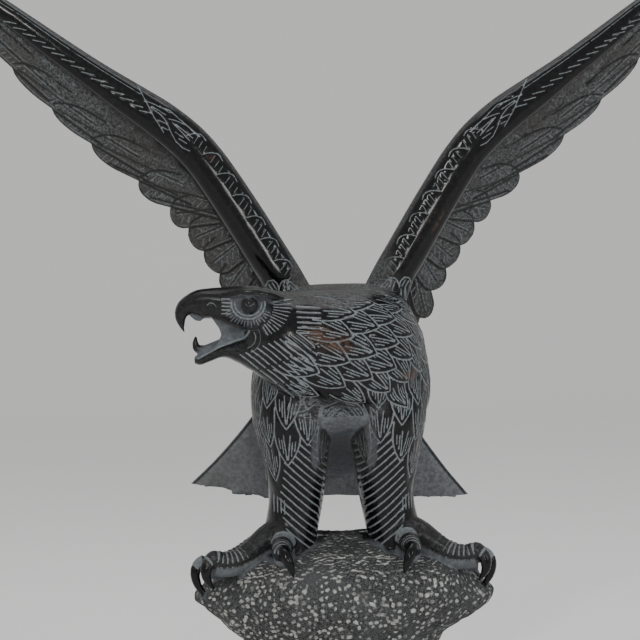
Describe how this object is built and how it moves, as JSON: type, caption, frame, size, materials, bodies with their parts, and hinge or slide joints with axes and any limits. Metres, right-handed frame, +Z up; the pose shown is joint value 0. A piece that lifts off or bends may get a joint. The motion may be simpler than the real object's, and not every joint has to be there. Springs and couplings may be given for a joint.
{
  "type": "stone eagle sculpture",
  "caption": "Carved black stone eagle with raised open wings and open beak, gripping a rough pecked rock on a low hewn base, all one block.",
  "frame": {"origin": "centre of the flat underside of the base", "axes": "+Z up; +X to the right of someone facing the chest, along the wings; +Y away from them, towards the tail"},
  "size_m": [0.9619, 0.2849, 0.9355],
  "materials": {
    "black_stone": "polished near-black stone with pale incised lines; rock and base rough and pecked"
  },
  "bodies": {
    "root": {"eagle_on_rock": "black_stone"}
  },
  "joints": []
}
